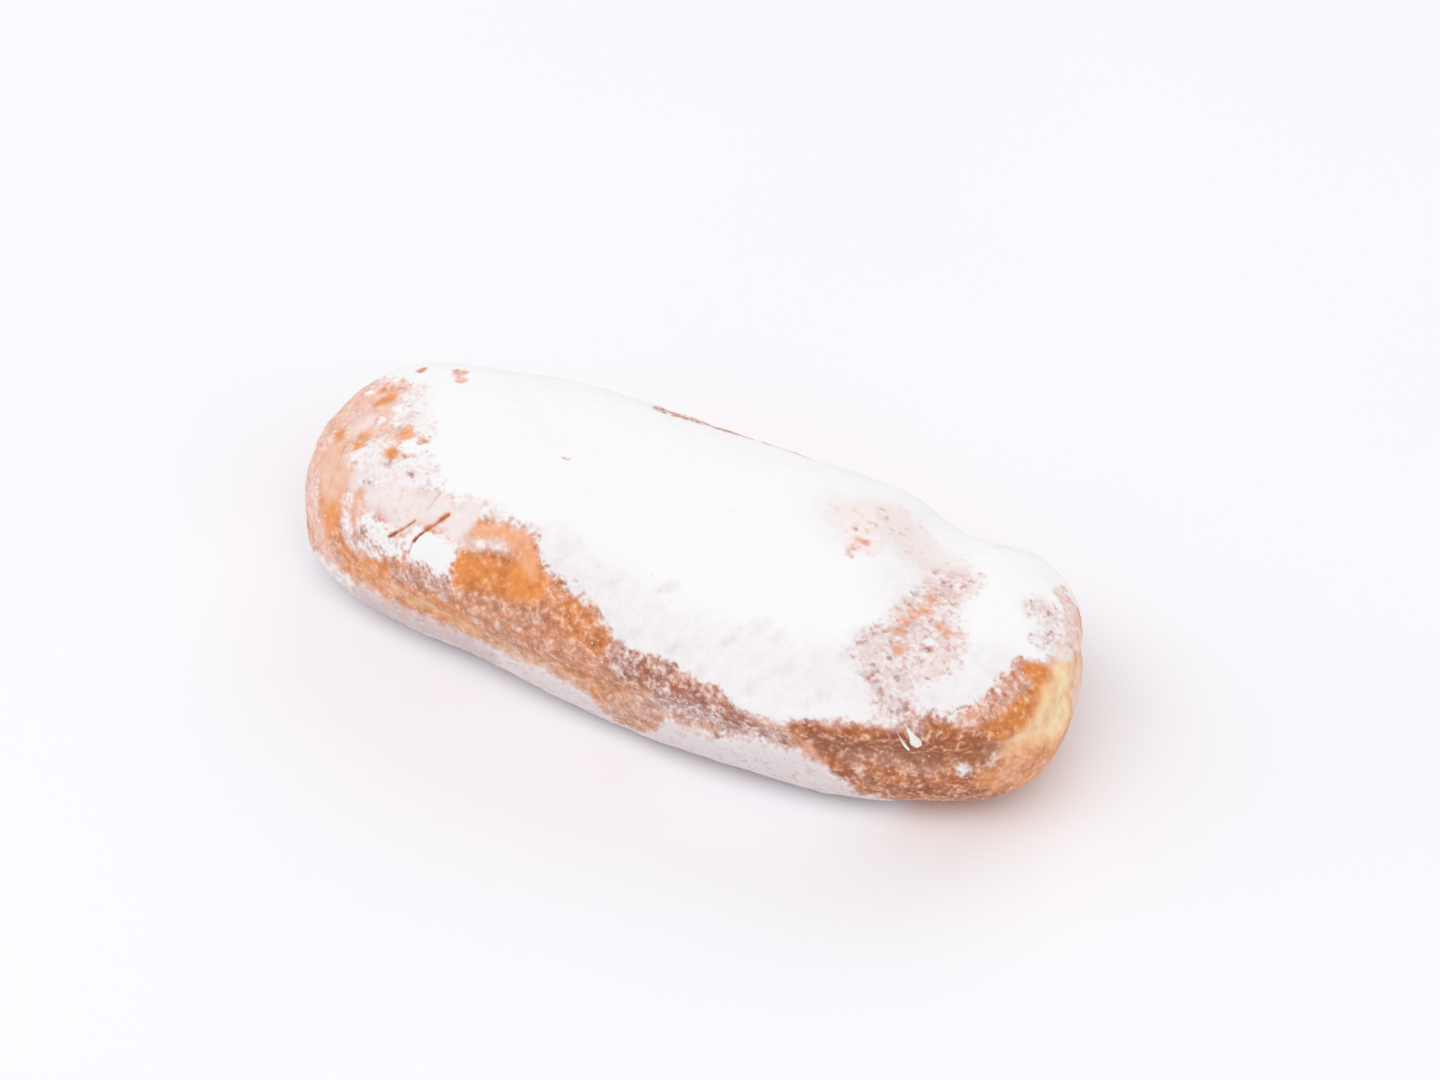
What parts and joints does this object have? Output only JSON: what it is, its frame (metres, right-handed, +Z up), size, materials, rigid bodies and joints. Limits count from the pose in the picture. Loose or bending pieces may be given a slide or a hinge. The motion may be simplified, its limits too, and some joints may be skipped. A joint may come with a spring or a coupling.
{
  "type": "cream-filled doughnut",
  "caption": "Long filled doughnut with round ends, a soft waist round its side, grip dents near one end and a coat of powdered sugar over fried crust.",
  "frame": {"origin": "middle of the bounding box on the surface that the doughnut rests on", "axes": "+X along the doughnut towards its lower, broader end with the grip dents, +Y to its back, +Z up"},
  "size_m": [0.153, 0.063, 0.0378],
  "materials": {
    "sugared_crust": "soft fried crust under powdered sugar, matte",
    "powdered_sugar": "loose powdered sugar, matte"
  },
  "bodies": {
    "root": {"doughnut": "sugared_crust"}
  },
  "joints": []
}
